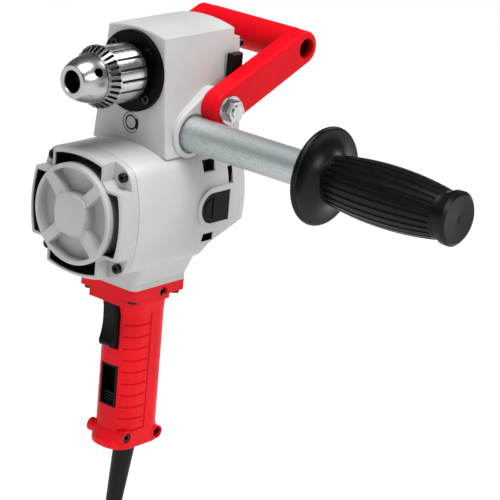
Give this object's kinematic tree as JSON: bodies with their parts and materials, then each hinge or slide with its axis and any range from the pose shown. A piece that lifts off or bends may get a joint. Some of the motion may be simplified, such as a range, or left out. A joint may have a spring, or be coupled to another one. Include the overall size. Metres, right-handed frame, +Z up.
{
  "type": "right angle drill",
  "caption": "Corded right angle drill with a keyed chuck over a crosswise motor, an upright pistol handle, a pipe side handle and a swinging bail handle.",
  "frame": {"origin": "middle of the main handle's grip, on the tool's middle plane", "axes": "+X to the side handle, +Y to the rear away from the chuck, +Z up the handle to the spindle"},
  "size_m": [0.3523, 0.2158, 0.4733],
  "materials": {
    "cast_grey": "satin lacquer over a cast alloy body",
    "red_paint": "semi-gloss red paint",
    "black_steel": "black oxide",
    "bright_steel": "bright ground steel",
    "gear_steel": "hardened and oiled",
    "zinc_pipe": "zinc plated",
    "copper": "enamelled copper wire",
    "laminate": "stacked sheet steel",
    "black_plastic": "moulded, fine grain",
    "red_plastic": "moulded, satin",
    "white_plastic": "moulded",
    "black_rubber": "moulded rubber",
    "brass": "plain",
    "carbon": "pressed carbon"
  },
  "bodies": {
    "housing": {"main_housing": "cast_grey", "gear_cover": "cast_grey", "motor_end_cap": "cast_grey", "gear_cover_screws": "black_steel", "end_cap_screws": "black_steel", "retainer_screws": "black_steel", "handle_screws": "black_steel", "flange_screws": "black_steel", "bearing_retainer": "black_steel", "countershaft_plug": "gear_steel", "plug_retaining_ring": "black_steel", "spindle_bearings": "gear_steel", "countershaft_bearings": "gear_steel", "jackshaft_bearings": "gear_steel", "armature_bearings": "gear_steel", "field_core": "laminate", "field_coils": "copper", "brush_holders": "black_plastic", "brush_caps": "black_plastic", "carbon_brushes": "carbon", "bail_bolts": "bright_steel", "side_handle_pipe": "zinc_pipe", "side_grip": "black_plastic", "handle_left": "red_plastic", "handle_right": "red_plastic", "switch_body": "black_plastic", "reversing_switch": "black_plastic", "strain_relief": "black_rubber", "internal_leads": "black_rubber", "cord_clamp": "white_plastic", "cord_lead": "black_rubber", "cord_coil": "black_rubber", "coil_tie": "black_plastic", "plug_body": "black_rubber", "plug_prongs": "brass"},
    "spindle": {"spindle": "gear_steel", "chuck_body": "bright_steel"},
    "chuck_sleeve": {"chuck_sleeve": "bright_steel"},
    "jaw_1": {"jaw_1": "bright_steel"},
    "jaw_2": {"jaw_2": "bright_steel"},
    "jaw_3": {"jaw_3": "bright_steel"},
    "low_gear": {"low_gear": "gear_steel"},
    "high_gear": {"high_gear": "gear_steel"},
    "shift_collar": {"shift_collar": "gear_steel"},
    "countershaft": {"countershaft": "gear_steel", "counter_gear": "gear_steel", "high_drive_gear": "gear_steel"},
    "jackshaft": {"jackshaft": "gear_steel", "jackshaft_gear": "gear_steel"},
    "armature": {"armature_shaft": "gear_steel", "armature_core": "laminate", "armature_windings": "copper", "commutator": "copper", "fan": "black_plastic"},
    "shifter": {"shift_lever": "black_plastic", "shift_crank": "gear_steel"},
    "d_handle": {"d_handle": "red_paint"},
    "trigger": {"trigger": "black_plastic"},
    "reversing_slider": {"reversing_slider": "black_plastic"}
  },
  "joints": [
    {"name": "spindle_spin", "type": "hinge", "parent": "housing", "child": "spindle", "pos_m": [0, 0, 0.235], "axis": [0, 1, 0], "continuous": true},
    {"name": "low_gear_spin", "type": "hinge", "parent": "housing", "child": "low_gear", "pos_m": [0, 0, 0.235], "axis": [0, 1, 0], "continuous": true},
    {"name": "high_gear_spin", "type": "hinge", "parent": "housing", "child": "high_gear", "pos_m": [0, 0, 0.235], "axis": [0, 1, 0], "continuous": true},
    {"name": "countershaft_spin", "type": "hinge", "parent": "housing", "child": "countershaft", "pos_m": [0, 0, 0.195], "axis": [0, 1, 0], "continuous": true},
    {"name": "jackshaft_spin", "type": "hinge", "parent": "housing", "child": "jackshaft", "pos_m": [0, 0, 0.162], "axis": [0, 1, 0], "continuous": true},
    {"name": "armature_spin", "type": "hinge", "parent": "housing", "child": "armature", "pos_m": [0, 0, 0.133], "axis": [0, 1, 0], "continuous": true},
    {"name": "sleeve_turn", "type": "hinge", "parent": "spindle", "child": "chuck_sleeve", "pos_m": [0, -0.042, 0.235], "axis": [0, 1, 0], "range_deg": [0, 2160]},
    {"name": "jaw_1_slide", "type": "slide", "parent": "spindle", "child": "jaw_1", "axis": [0, -0.9397, -0.342], "range_m": [0, 0.021]},
    {"name": "jaw_2_slide", "type": "slide", "parent": "spindle", "child": "jaw_2", "axis": [0.2962, -0.9397, 0.171], "range_m": [0, 0.021]},
    {"name": "jaw_3_slide", "type": "slide", "parent": "spindle", "child": "jaw_3", "axis": [-0.2962, -0.9397, 0.171], "range_m": [0, 0.021]},
    {"name": "shift_turn", "type": "hinge", "parent": "housing", "child": "shifter", "pos_m": [0.034, 0.047, 0.221], "axis": [-1, 0, 0], "range_deg": [0, 10.24]},
    {"name": "collar_slide", "type": "slide", "parent": "spindle", "child": "shift_collar", "axis": [0, 1, 0], "range_m": [0, 0.0025]},
    {"name": "bail_swing", "type": "hinge", "parent": "housing", "child": "d_handle", "pos_m": [0, 0.0268, 0.2113], "axis": [1, 0, 0], "range_deg": [-25, 95]},
    {"name": "trigger_pull", "type": "hinge", "parent": "housing", "child": "trigger", "pos_m": [0, -0.015, 0.051], "axis": [1, 0, 0], "range_deg": [0, 7], "stiffness_Nm_per_rad": 2, "springref_deg": -6.88},
    {"name": "reversing_slide", "type": "slide", "parent": "housing", "child": "reversing_slider", "axis": [0, 0, 1], "range_m": [0, 0.016]}
  ],
  "couplings": [
    {"joint": "low_gear_spin", "follows": "spindle_spin", "ratio": 1},
    {"joint": "high_gear_spin", "follows": "spindle_spin", "ratio": 2.2698},
    {"joint": "countershaft_spin", "follows": "spindle_spin", "ratio": -1.8571},
    {"joint": "jackshaft_spin", "follows": "spindle_spin", "ratio": 6.3143},
    {"joint": "armature_spin", "follows": "spindle_spin", "ratio": -26.979},
    {"joint": "shift_turn", "follows": "collar_slide", "rad_per_m": 71.429},
    {"joint": "jaw_2_slide", "follows": "jaw_1_slide", "ratio": 1},
    {"joint": "jaw_3_slide", "follows": "jaw_1_slide", "ratio": 1},
    {"joint": "sleeve_turn", "follows": "jaw_1_slide", "rad_per_m": 1795.2}
  ]
}
